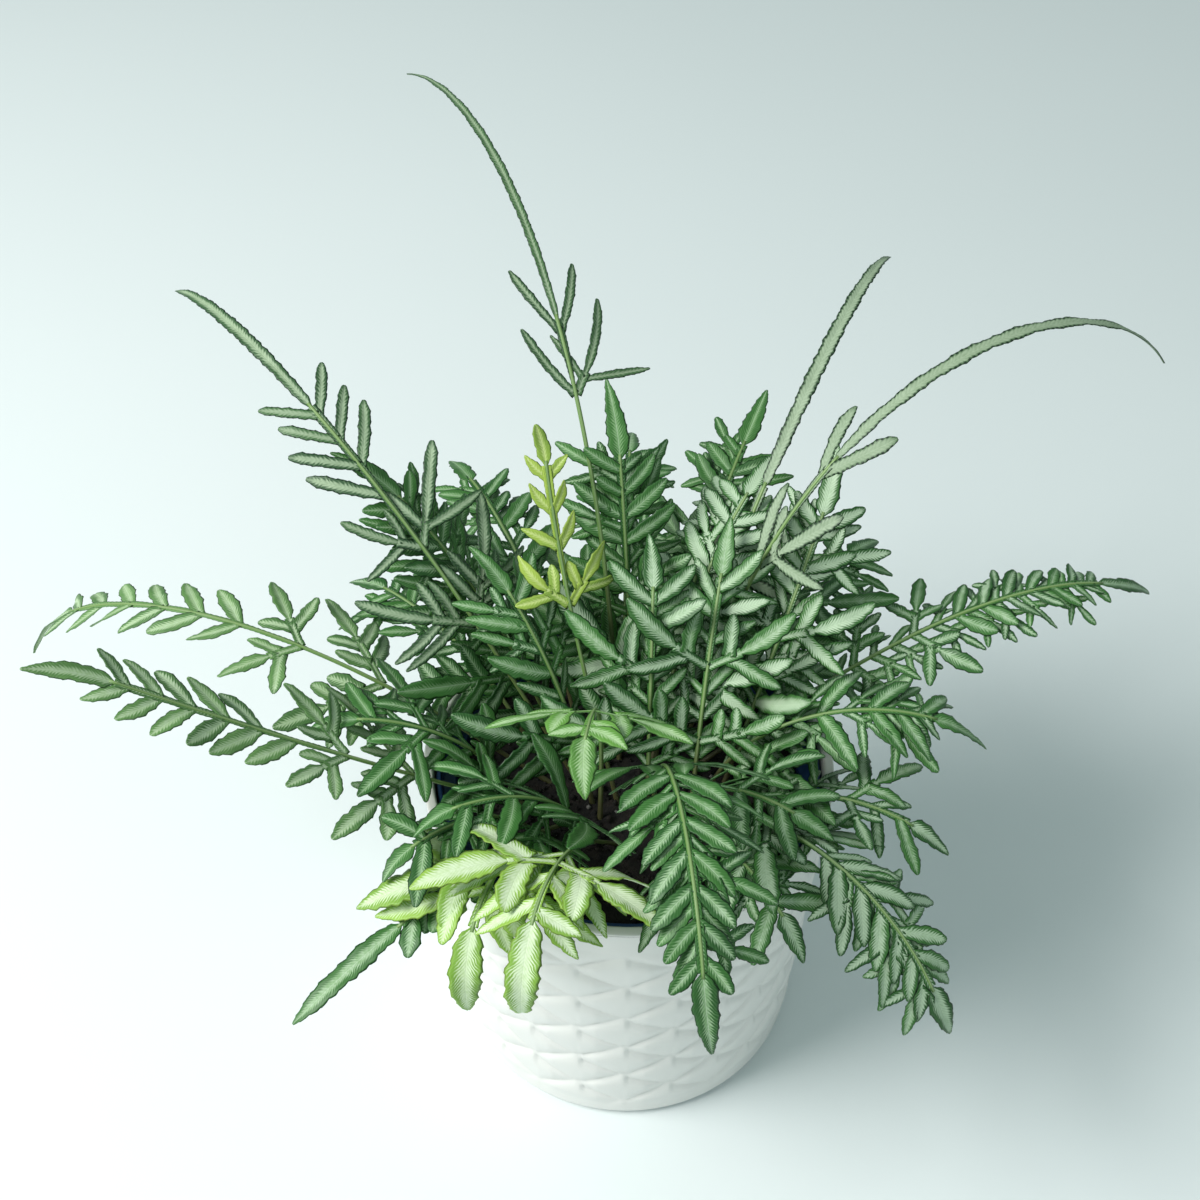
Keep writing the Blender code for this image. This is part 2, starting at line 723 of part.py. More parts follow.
def main():
    for old in list(bpy.data.objects):
        bpy.data.objects.remove(old, do_unlink=True)
    chance = random.Random(SEED)

    pot_mesh = cover_pot()
    nursery_mesh = nursery_pot()
    soil_mesh = soil(chance)
    object_from("cover_pot", *pot_mesh, (0.80, 0.79, 0.76), 0.32, smooth=True)
    nursery = object_from("nursery_pot", *nursery_mesh, (0.02, 0.06, 0.22), 0.40, smooth=True)
    earth = object_from("soil", *soil_mesh, (0.015, 0.013, 0.012), 0.95)
    cut(nursery, drain_holes())
    cut(earth, [stem_hole(Spine(frond)) for frond in FRONDS])

    # Every bare frond is in place before the first leaflet grows
    crowd = Crowd()
    for name, (points, faces) in (("cover", pot_mesh), ("nursery", nursery_mesh), ("soil", soil_mesh)):
        crowd.add(name, np.array(points), triangles(faces))
    for frond in FRONDS:
        crowd.add(frond.name, *bare(frond)[0].body(Spine(frond)))
    for frond in FRONDS:
        points, faces = grown(frond, crowd, chance)
        crowd.add(frond.name, points, faces)
        object_from(frond.name, points, faces, FORMS[frond.form].colour, 0.55)


main()
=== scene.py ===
# Silver lace fern in a blue nursery pot, standing in a white woven-relief cover pot.
# Metres, +Z up, the viewer looks along +Y.

import math
import random

import bpy
import numpy as np
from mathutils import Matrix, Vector
from mathutils.kdtree import KDTree


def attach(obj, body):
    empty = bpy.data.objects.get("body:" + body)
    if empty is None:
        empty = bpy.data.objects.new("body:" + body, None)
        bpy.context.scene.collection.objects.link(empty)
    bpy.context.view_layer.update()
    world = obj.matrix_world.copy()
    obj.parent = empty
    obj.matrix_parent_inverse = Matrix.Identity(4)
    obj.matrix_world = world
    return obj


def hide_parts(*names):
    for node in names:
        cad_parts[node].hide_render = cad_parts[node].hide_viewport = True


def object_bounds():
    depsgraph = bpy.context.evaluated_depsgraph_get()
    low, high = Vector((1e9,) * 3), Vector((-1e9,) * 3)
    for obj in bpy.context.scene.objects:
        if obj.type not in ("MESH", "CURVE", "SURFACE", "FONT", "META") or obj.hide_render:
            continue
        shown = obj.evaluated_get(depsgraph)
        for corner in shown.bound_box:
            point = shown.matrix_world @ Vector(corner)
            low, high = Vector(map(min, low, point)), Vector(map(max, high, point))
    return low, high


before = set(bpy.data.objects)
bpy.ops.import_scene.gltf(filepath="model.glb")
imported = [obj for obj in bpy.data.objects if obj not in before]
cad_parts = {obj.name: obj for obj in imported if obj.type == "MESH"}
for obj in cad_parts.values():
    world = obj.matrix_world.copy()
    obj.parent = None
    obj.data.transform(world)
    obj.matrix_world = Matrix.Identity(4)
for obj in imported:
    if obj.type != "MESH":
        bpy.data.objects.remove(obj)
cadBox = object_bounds()
mm = 0.001


# Shader maths


class Sock:
    # A node's socket in an expression: each operator adds one Math node

    def __init__(self, look, socket):
        self.look = look
        self.socket = socket

    def math(self, operation, *values):
        return self.look.node("Math", {"operation": operation}, dict(enumerate((self, *values))))

    def __add__(self, other):
        return self.math("ADD", other)

    __radd__ = __add__

    def __sub__(self, other):
        return self.math("SUBTRACT", other)

    def __rsub__(self, other):
        return self.look.node("Math", {"operation": "SUBTRACT"}, {0: other, 1: self})

    def __mul__(self, other):
        return self.math("MULTIPLY", other)

    __rmul__ = __mul__

    def __truediv__(self, other):
        return self.math("DIVIDE", other)

    def __pow__(self, other):
        return self.math("POWER", other)

    def __abs__(self):
        return self.math("ABSOLUTE")

    def wave(self):
        # A cosine of full turns, from 0 to 1
        return (self * (2 * math.pi)).math("COSINE") * 0.5 + 0.5

    def step(self, low, high):
        # 0 below low, 1 above high and smooth between
        return self.look.node(
            "MapRange",
            {"interpolation_type": "SMOOTHSTEP"},
            {"Value": self, "From Min": low, "From Max": high},
        )


class Look:
    # A material: its shader's plain values, and one method that adds any node

    def __init__(self, name, **values):
        self.material = bpy.data.materials.new(name)
        self.material.use_nodes = True
        self.tree = self.material.node_tree
        self.shader = self.tree.nodes["Principled BSDF"]
        for socket, value in values.items():
            self.shader.inputs[socket.replace("_", " ")].default_value = value

    def node(self, kind, settings=None, values=None, out=0):
        made = self.tree.nodes.new("ShaderNode" + kind)
        for name, value in (settings or {}).items():
            setattr(made, name, value)
        for key, value in (values or {}).items():
            if isinstance(value, Sock):
                self.tree.links.new(value.socket, made.inputs[key])
            else:
                made.inputs[key].default_value = value
        return Sock(self, made.outputs[out])

    def mix(self, factor, first, second):
        return self.node("Mix", {"data_type": "RGBA"}, {0: factor, 6: first, 7: second}, 2)

    def split(self, vector):
        parts = self.node("SeparateXYZ", {}, {0: vector}).socket.node.outputs
        return [Sock(self, part) for part in parts]

    def attribute(self, name):
        return self.split(self.node("Attribute", {"attribute_name": name}, {}, "Vector"))

    def place(self):
        return self.node("TexCoord", {}, {}, "Object")

    def noise(self, scale, detail=2.0):
        return self.node("TexNoise", {}, {"Vector": self.place(), "Scale": scale, "Detail": detail})

    def bump(self, height, distance, strength=1.0):
        values = {"Height": height, "Distance": distance, "Strength": strength}
        self.feed("Normal", self.node("Bump", {}, values))

    def feed(self, name, value):
        self.tree.links.new(value.socket, self.shader.inputs[name])


def colour(red, green, blue):
    return (red, green, blue, 1.0)


# Meshes


def pieceFrom(name, points, faces, materials, indices=None, attributes=None):
    # A smooth mesh object at the origin, with vector attributes on its points
    mesh = bpy.data.meshes.new(name)
    mesh.from_pydata(points.tolist(), [], faces)
    for material in materials:
        mesh.materials.append(material)
    if indices is not None:
        mesh.polygons.foreach_set("material_index", indices)
    for key, values in (attributes or {}).items():
        store = mesh.attributes.new(key, "FLOAT_VECTOR", "POINT")
        store.data.foreach_set("vector", np.asarray(values, np.float32).ravel())
    mesh.polygons.foreach_set("use_smooth", [True] * len(mesh.polygons))
    mesh.update()
    made = bpy.data.objects.new(name, mesh)
    bpy.context.scene.collection.objects.link(made)
    return made


def gridQuads(numbers, around=False):
    # Quads between neighbouring rows and columns of point numbers
    if around:
        numbers = np.concatenate([numbers, numbers[:, :1]], axis=1)
    corners = (numbers[:-1, :-1], numbers[1:, :-1], numbers[1:, 1:], numbers[:-1, 1:])
    return np.stack(corners, axis=-1).reshape(-1, 4)


def turnedPiece(name, profile, sides, material, shift=None):
    # A profile of (radius, height) turned round the middle, each ring moved outward by
    # shift(angle, height); the first and last rings are closed by flat faces
    radius, height = np.array(profile).T[:, :, None]
    angle = np.linspace(0, 2 * math.pi, sides, endpoint=False)[None, :]
    reach = radius + (shift(angle, height, radius) if shift else 0 * angle)
    points = np.stack([reach * np.cos(angle), reach * np.sin(angle), height + 0 * angle], axis=-1)
    numbers = np.arange(len(profile) * sides).reshape(len(profile), sides)
    faces = gridQuads(numbers, around=True)[:, ::-1].tolist()
    faces += [numbers[0, ::-1].tolist(), numbers[-1].tolist()]
    return pieceFrom(name, points.reshape(-1, 3), faces, [material])


def roundedProfile(corners, steps=5):
    # A profile of (radius, height, rounding): each corner becomes a curve through points
    # from one rounding before it to one rounding after it
    places = np.array([corner[:2] for corner in corners])
    points = [places[0]]
    for before, here, after, corner in zip(places, places[1:], places[2:], corners[1:]):
        to, on = before - here, after - here
        start = here + to / np.linalg.norm(to) * min(corner[2], np.linalg.norm(to) / 2)
        end = here + on / np.linalg.norm(on) * min(corner[2], np.linalg.norm(on) / 2)
        share = np.linspace(0, 1, steps)[:, None]
        points.extend((1 - share) ** 2 * start + 2 * share * (1 - share) * here + share**2 * end)
    points.append(places[-1])
    return points


def finished(piece, node, slotName):
    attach(piece, "root")
    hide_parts(node)
    return piece


# Cover pot

coverPot = {
    "height": 130 * mm,
    "rimRadius": 70 * mm,
    "baseRadius": 64 * mm,
    "wall": 3.6 * mm,
    "floor": 6 * mm,
    "columns": 24,
    "pitch": 21 * mm,
    "reliefBottom": 7 * mm,
    "reliefTop": 118 * mm,
    "reliefDepth": 1.7 * mm,
    "reliefMiddle": 0.55,
    "leftArm": 0.40,
    "rightArm": 0.58,
    "sides": 480,
    "rings": 176,
    "glaze": colour(0.80, 0.795, 0.765),
    "shade": colour(0.76, 0.755, 0.725),
}


def woven(angle, height, radius):
    # Height of the weave: creases hang in a V two columns wide, its left arm gentle and its
    # right arm steep, and the next column's stand half a pitch higher. Between one crease
    # (q = 0) and the one above it (q = 1) the clay swells as sqrt(q) (1 - q^5). Only the
    # outer wall has it.
    column = angle * coverPot["columns"] / (2 * math.pi)
    row = height / coverPot["pitch"]
    below, above = [], []
    for shift in (0, 1):
        t = (column + shift) % 2 - 1
        left, right = coverPot["leftArm"] * np.abs(t) ** 1.1, coverPot["rightArm"] * np.abs(t) ** 0.8
        crease = np.where(t < 0, left, right) + 0.5 * shift
        below.append((row - crease) % 1)
        above.append((crease - row) % 1)
    under, over = np.minimum(*below), np.minimum(*above)
    q = under / (under + over + 1e-9)
    swell = 1.25 * np.sqrt(q) * (1 - q**5) * np.clip((under + over) * 2, 0, 1)
    swell = swell - coverPot["reliefMiddle"]
    low = np.clip((height - coverPot["reliefBottom"]) / (6 * mm), 0, 1)
    high = np.clip((coverPot["reliefTop"] - height) / (6 * mm), 0, 1)
    outer = radius > coverPot["baseRadius"] - 1 * mm
    return coverPot["reliefDepth"] * swell * low * high * outer


def coverPotLook():
    look = Look("coverPotGlaze", Roughness=0.34, IOR=1.5, Coat_Weight=0.25, Coat_Roughness=0.2)
    cloud = look.noise(18, 3)
    look.feed("Base Color", look.mix(cloud.step(0.35, 0.75), coverPot["glaze"], coverPot["shade"]))
    look.feed("Roughness", 0.38 + look.noise(60, 2) * 0.12)
    look.bump(look.noise(420, 2) + look.noise(60, 2) * 2, 0.05 * mm, 0.5)
    return look.material


def makeCoverPot():
    rim, base, wall = coverPot["rimRadius"], coverPot["baseRadius"], coverPot["wall"]
    height, floorTop = coverPot["height"], coverPot["floor"]
    share = np.linspace(0, 1, coverPot["rings"])
    outer = np.stack([base + (rim - base) * share, 8 * mm + (height - 9 * mm) * share], axis=-1)
    foot = roundedProfile([(1 * mm, 0, 0), (base, 0, 9 * mm), (base, 8 * mm, 0)], 9)
    top = roundedProfile(
        [
            (rim, height - 1.2 * mm, 0),
            (rim, height, 1.4 * mm),
            (rim - wall, height, 1.4 * mm),
            (base - wall, 20 * mm, 6 * mm),
            (base - wall - 4 * mm, floorTop, 4 * mm),
            (1 * mm, floorTop, 0),
        ],
        7,
    )
    profile = [*foot[:-1], *outer, *top]
    pot = turnedPiece("coverPot", profile, coverPot["sides"], coverPotLook(), woven)
    return finished(pot, "cover_pot", "cover_pot")


makeCoverPot()
print("cover pot made")


# Nursery pot

nurseryPot = {
    "rimRadius": 65.5 * mm,
    "neckRadius": 62 * mm,
    "baseRadius": 50 * mm,
    "top": 127.5 * mm,
    "band": 10 * mm,
    "wall": 1.6 * mm,
    "bottom": 6.3 * mm,
    "sides": 192,
    "blue": colour(0.008, 0.040, 0.135),
    "worn": colour(0.020, 0.070, 0.19),
}


def nurseryPotLook():
    look = Look("nurseryPlastic", Roughness=0.38, IOR=1.48)
    scuff = look.noise(140, 4).step(0.52, 0.72)
    look.feed("Base Color", look.mix(scuff * 0.6, nurseryPot["blue"], nurseryPot["worn"]))
    look.feed("Roughness", 0.34 + scuff * 0.2)
    look.bump(look.noise(900, 2), 0.04 * mm, 0.4)
    return look.material


def makeNurseryPot():
    rim, neck, base = nurseryPot["rimRadius"], nurseryPot["neckRadius"], nurseryPot["baseRadius"]
    top, wall, bottom = nurseryPot["top"], nurseryPot["wall"], nurseryPot["bottom"]
    band = top - nurseryPot["band"]
    profile = roundedProfile(
        [
            (1 * mm, bottom, 0),
            (base, bottom, 2 * mm),
            (neck - 1 * mm, band, 0.6 * mm),
            (rim, band + 0.8 * mm, 0.6 * mm),
            (rim, top, 0.7 * mm),
            (rim - wall, top, 0.6 * mm),
            (rim - wall - 0.4 * mm, band + 3 * mm, 0.8 * mm),
            (neck - 1 * mm - wall, band + 1.4 * mm, 0.6 * mm),
            (base - wall, bottom + wall + 1 * mm, 1 * mm),
            (1 * mm, bottom + wall + 0.2 * mm, 0),
        ]
    )
    pot = turnedPiece("nurseryPot", profile, nurseryPot["sides"], nurseryPotLook())
    return finished(pot, "nursery_pot", "nursery_pot")


makeNurseryPot()
print("nursery pot made")


# Soil

soil = {
    "level": 118 * mm,
    "radius": 59.0 * mm,
    "bottom": 10 * mm,
    "bottomRadius": 48 * mm,
    "rings": 46,
    "sides": 150,
    "roughness": 1.3 * mm,
    "crumbs": 1500,
    "crumbSizes": (0.5 * mm, 1.9 * mm),
    "perlite": 0.02,
    "dark": colour(0.004, 0.004, 0.0035),
    "brown": colour(0.016, 0.012, 0.009),
    "pale": colour(0.16, 0.155, 0.145),
}


def soilLook():
    look = Look("pottingSoil", Roughness=0.95)
    kind = look.attribute("kind")[0]
    earth = look.mix(look.noise(260, 4).step(0.4, 0.68), soil["dark"], soil["brown"])
    look.feed("Base Color", look.mix(kind, earth, soil["pale"]))
    look.bump(look.noise(700, 4), 0.5 * mm, 0.9)
    return look.material


def soilSurface():
    # Rings from the bottom's middle out, up the side and in over the top, whose height is a
    # sum of crossed waves
    share = np.linspace(1, 0.02, soil["rings"])[:, None]
    angle = np.linspace(0, 2 * math.pi, soil["sides"], endpoint=False)[None, :]
    radius = np.vstack([[[0.02 * soil["bottomRadius"]]], [[soil["bottomRadius"]]], share * soil["radius"]])
    x, y = radius * np.cos(angle), radius * np.sin(angle)
    waves = sum(
        np.sin(x * across / mm + turn) * np.cos(y * deep / mm + 2 * turn)
        for across, deep, turn in ((0.31, 0.27, 0.4), (0.83, 0.71, 2.2), (1.9, 2.1, 4.0))
    )
    z = soil["level"] - 1 * mm + soil["roughness"] * waves / 3
    z[:2] = soil["bottom"]
    z[2] = soil["level"] - 3 * mm
    numbers = np.arange(x.size).reshape(x.shape)
    faces = gridQuads(numbers, around=True)[:, ::-1].tolist()
    faces += [numbers[0, ::-1].tolist(), numbers[-1].tolist()]
    return np.stack([x, y, z], axis=-1).reshape(-1, 3), faces


def makeSoil():
    # Crumbs are eight-faced grains of random size and stretch, lying on the surface
    points, faces = soilSurface()
    draw = np.random.default_rng(11)
    count = soil["crumbs"]
    reach = soil["radius"] * 0.98 * np.sqrt(draw.random(count))
    turn = draw.random(count) * 2 * math.pi
    size = soil["crumbSizes"][0] + np.diff(soil["crumbSizes"])[0] * draw.random(count) ** 3
    middles = np.stack([reach * np.cos(turn), reach * np.sin(turn)], axis=-1)
    heights = soil["level"] - 1 * mm + size * 0.5 + soil["roughness"] * (draw.random(count) - 0.4)
    corners = np.array([(1, 0, 0), (-1, 0, 0), (0, 1, 0), (0, -1, 0), (0, 0, 1), (0, 0, -1)], float)
    grain = corners[None] * size[:, None, None] * (0.7 + 0.6 * draw.random((count, 6, 1)))
    grain += draw.normal(0, 0.16, (count, 6, 3)) * size[:, None, None]
    grain += np.concatenate([middles, heights[:, None]], axis=1)[:, None]
    sides = np.array([(a, b, c) for a in (0, 1) for b in (2, 3) for c in (4, 5)])
    inward = np.linalg.det(corners[sides]) < 0
    sides[inward] = sides[inward][:, ::-1]
    numbers = len(points) + np.arange(count)[:, None, None] * 6 + sides[None]
    pale = np.repeat(draw.random(count) < soil["perlite"], 6)
    kind = np.concatenate([np.zeros(len(points)), pale])
    piece = pieceFrom(
        "soil",
        np.vstack([points, grain.reshape(-1, 3)]),
        faces + numbers.reshape(-1, 3).tolist(),
        [soilLook()],
        attributes={"kind": np.repeat(kind[:, None], 3, axis=1)},
    )
    return finished(piece, "soil", "soil")


makeSoil()
print("soil made")


# Leaf finishes: the margin and its shade, the band along the middle in a green and in a
# silver leaf, the rim; how far the band reaches across, how deep its edge is feathered,
# how strong the dark dashes on the rim are and how far across it begins, and the side
# veins' pitch in mm


def leafFinish(margin, deep, band, pale, rim, width, feather, dashes, rimFrom, vein):
    return dict(locals())


leafFinishes = {
    "leafy": leafFinish(
        colour(0.036, 0.146, 0.024),
        colour(0.015, 0.086, 0.013),
        colour(0.190, 0.350, 0.150),
        colour(0.450, 0.590, 0.410),
        colour(0.008, 0.042, 0.010),
        0.4,
        0.4,
        0.35,
        0.84,
        1.15,
    ),
    "light": leafFinish(
        colour(0.105, 0.235, 0.066),
        colour(0.055, 0.150, 0.038),
        colour(0.330, 0.480, 0.250),
        colour(0.480, 0.610, 0.410),
        colour(0.028, 0.085, 0.024),
        0.42,
        0.36,
        0.45,
        0.84,
        1.2,
    ),
    "narrow": leafFinish(
        colour(0.052, 0.132, 0.044),
        colour(0.026, 0.082, 0.028),
        colour(0.250, 0.350, 0.210),
        colour(0.360, 0.470, 0.310),
        colour(0.010, 0.034, 0.014),
        0.46,
        0.26,
        0.7,
        0.74,
        1.5,
    ),
    "whip": leafFinish(
        colour(0.095, 0.170, 0.082),
        colour(0.045, 0.100, 0.042),
        colour(0.260, 0.350, 0.225),
        colour(0.350, 0.450, 0.310),
        colour(0.010, 0.032, 0.012),
        0.66,
        0.2,
        0.9,
        0.66,
        1.7,
    ),
    "lime": leafFinish(
        colour(0.260, 0.460, 0.055),
        colour(0.170, 0.340, 0.036),
        colour(0.500, 0.660, 0.330),
        colour(0.680, 0.800, 0.570),
        colour(0.200, 0.300, 0.045),
        0.46,
        0.5,
        0.3,
        0.88,
        1.25,
    ),
    "young": leafFinish(
        colour(0.125, 0.315, 0.050),
        colour(0.072, 0.210, 0.034),
        colour(0.310, 0.510, 0.210),
        colour(0.460, 0.630, 0.370),
        colour(0.055, 0.140, 0.030),
        0.42,
        0.4,
        0.3,
        0.86,
        1.2,
    ),
    "unrolling": leafFinish(
        colour(0.330, 0.470, 0.065),
        colour(0.220, 0.360, 0.050),
        colour(0.480, 0.600, 0.180),
        colour(0.560, 0.670, 0.270),
        colour(0.140, 0.200, 0.035),
        0.36,
        0.3,
        0.3,
        0.86,
        1.2,
    ),
}


def leafLook(name, finish):
    # The pale band ends where side veins, bent and faded by noise, say, and is wider and
    # paler in a silver leaf; the margin is dark, its rim has short dashes at the veins' pitch
    look = Look(name + "Leaf", Roughness=0.5, IOR=1.42)
    along, across, half = look.attribute("leaf")
    share, chance, silver = look.attribute("place")
    out = abs(across)
    depth = out * half
    cloud = look.noise(120, 3) - 0.5
    ribs = ((along - depth * 1.2) / finish["vein"] + look.noise(300, 3) * 1.8).wave()
    clear = look.noise(170, 2).step(0.35, 0.65) * 0.7 + 0.3
    edge = finish["width"] + (ribs - 0.55) * clear * finish["feather"]
    edge = edge + cloud * 0.35 + (silver - 0.5) * 0.42
    band = (edge - out).step(-0.20, 0.18) * (1 - share.step(0.86, 1.0))
    shade = look.mix((chance + cloud).step(0.2, 0.9), finish["margin"], finish["deep"])
    shade = look.mix(ribs * clear * 0.24, shade, finish["band"])
    grain = look.noise(700, 3)
    silvered = (silver + cloud * 0.5 + (grain - 0.5) + (chance - 0.5) * 0.3).step(0.15, 0.95)
    light = look.mix(silvered, finish["band"], finish["pale"])
    dash = (along / finish["vein"] + 0.3).wave().step(0.30, 0.6) * finish["dashes"]
    rim = out.step(finish["rimFrom"], finish["rimFrom"] + 0.13) * (1 - finish["dashes"] + dash)
    midrib = 1 - depth.step(0.06, 0.22)
    skin = look.mix(band * (0.82 + ribs * 0.18), shade, light)
    skin = look.mix(midrib * 0.45, skin, finish["pale"])
    look.feed("Base Color", look.mix(rim, skin, finish["rim"]))
    look.feed("Roughness", 0.46 + band * 0.14)
    look.bump(ribs * clear * 0.5 + grain * 0.5 - midrib * 0.8, 0.08 * mm, 0.6)
    return look.material


stemFinish = {
    "green": colour(0.12, 0.23, 0.055),
    "pale": colour(0.30, 0.42, 0.19),
    "brown": colour(0.075, 0.045, 0.024),
}


def stemLook():
    # Green above and brown towards the foot, with a pale stripe along its upper side
    look = Look("fernStem", Roughness=0.45, IOR=1.45)
    across = look.attribute("leaf")[1]
    share, _, silver = look.attribute("place")
    stripe = (1 - abs(across).step(0.25, 0.6)) * (0.25 + silver * 0.75)
    skin = look.mix(stripe, stemFinish["green"], stemFinish["pale"])
    foot = 1 - (share + look.noise(60, 3) * 0.3).step(0.16, 0.5)
    look.feed("Base Color", look.mix(foot * 0.8, skin, stemFinish["brown"]))
    look.bump(look.noise(800, 3), 0.1 * mm, 0.5)
    return look.material


leafLooks = {name: leafLook(name, finish) for name, finish in leafFinishes.items()}
stemFinished = stemLook()
print("leaf finishes made")


# Fronds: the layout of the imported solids, which the finer leaflets follow

layout = {
    "seed": 7,
    "soilLevel": 118 * mm,
    "soilDraws": 61,
    "sunk": 12 * mm,
    "stemHalf": 0.8 * mm,
    "rachisHalf": 0.6 * mm,
    "bladeHalf": 0.38 * mm,
    "midribHalf": 1.0 * mm,
    "foot": 3.4 * mm,
    "stalk": 3.4 * mm,
    "sideAngle": math.radians(56),
    "sideWidth": 0.84,
    "sideLengths": (0.86, 0.62),
    "sideShorter": 0.12,
    "ribWidth": 3.4 * mm,
    "wingWidth": 3.2 * mm,
    "gap": 0.6 * mm,
    "leastSqueeze": 0.78,
    "mostStretch": 1.3,
    "curl": 3.0,
    "spineSteps": 60,
    "angleSpread": 5,
    "riseSpread": 0.12,
    "sizeSpread": (0.92, 1.05),
    "sizes": (1.0, 0.86, 0.72, 0.58),
    "bends": (0.0, 0.3, -0.3, 0.6, -0.6),
    "found": 0.6 * mm,
}


def form(
    stem, pairs, forked, spacing, lobe, width, tip, angle, taper, outline, tipOutline, fine, under, small, wild, finish
):
    return dict(locals())


# Share of bare stem, pairs, how many are forked, spacing, lobe length and width in mm,
# share of the end lobe, angle, taper, outlines; then the finer leaf's share of that width,
# how many rows of undergrowth there are below the pairs (none: none between them either),
# its size, how wildly the blades twist, and the finish
forms = {
    "fertile": form(0.28, 6, 2, 14.5, 27, 4.8, 0.37, 46, 0.93, "ribbon", "whip", 0.98, 0, 0, 0.3, "narrow"),
    "whip": form(0.30, 2, 1, 18.0, 27, 5.4, 0.54, 32, 0.92, "ribbon", "whip", 0.98, 0, 0, 0.2, "whip"),
    "tall": form(0.42, 2, 1, 14.0, 27, 3.4, 0.50, 32, 0.92, "ribbon", "whip", 1.0, 0, 0, 0.4, "narrow"),
    "leafy": form(0.26, 6, 2, 11.5, 25, 8.6, 0.20, 58, 0.90, "strap", "spear", 0.82, 3, 0.70, 0.35, "leafy"),
    "sparse": form(0.30, 8, 2, 15.0, 20, 7.6, 0.15, 46, 0.96, "strap", "spear", 0.86, 0, 0, 0.7, "light"),
    "thin": form(0.34, 9, 2, 10.5, 17, 6.2, 0.18, 62, 0.93, "strap", "spear", 0.90, 1, 0.70, 0.9, "leafy"),
    "hanging": form(0.32, 8, 1, 12.0, 25, 8.0, 0.15, 48, 0.91, "strap", "spear", 0.96, 1, 0.72, 0.25, "leafy"),
    "lance": form(0.50, 3, 0, 10.0, 15, 8.4, 0.36, 46, 0.85, "strap", "whip", 0.92, 2, 0.70, 0.3, "leafy"),
    "lime": form(0.48, 4, 1, 8.0, 28, 10.4, 0.32, 66, 0.95, "lance", "lance", 1.0, 1, 0.95, 0.4, "lime"),
    "young": form(0.66, 3, 1, 5.0, 22, 8.4, 0.18, 72, 0.95, "lance", "lance", 1.0, 0, 0, 0.4, "young"),
    "unrolling": form(0.56, 4, 1, 13.0, 15, 4.8, 0.10, 46, 0.85, "lance", "strap", 1.0, 0, 0, 0.8, "unrolling"),
}

# Width at shares of a blade's length
outlines = {
    "strap": ((0, 0.55), (0.14, 0.80), (0.36, 0.98), (0.56, 1.0), (0.74, 0.88), (0.88, 0.60), (0.96, 0.34), (1, 0.14)),
    "ribbon": ((0, 0.60), (0.16, 0.88), (0.5, 1.0), (0.8, 0.92), (0.93, 0.62), (1, 0.20)),
    "spear": ((0, 0.70), (0.16, 0.95), (0.34, 1.0), (0.6, 0.78), (0.8, 0.50), (0.92, 0.28), (1, 0.08)),
    "lance": ((0, 0.50), (0.16, 0.82), (0.38, 1.0), (0.58, 0.90), (0.78, 0.60), (0.92, 0.30), (1, 0.06)),
    "whip": ((0, 0.6), (0.10, 0.84), (0.36, 1.0), (0.60, 0.93), (0.80, 0.74), (0.93, 0.42), (1, 0.08)),
    "rib": ((0, 0.8), (1, 1.0)),
    "wing": ((0, 0.30), (0.35, 0.62), (1, 1.0)),
}


def frond(name, kind, heading, lean, droop, length, foot, sweep=0, roll=0, bend=1.4, silver=0.5):
    return dict(locals())


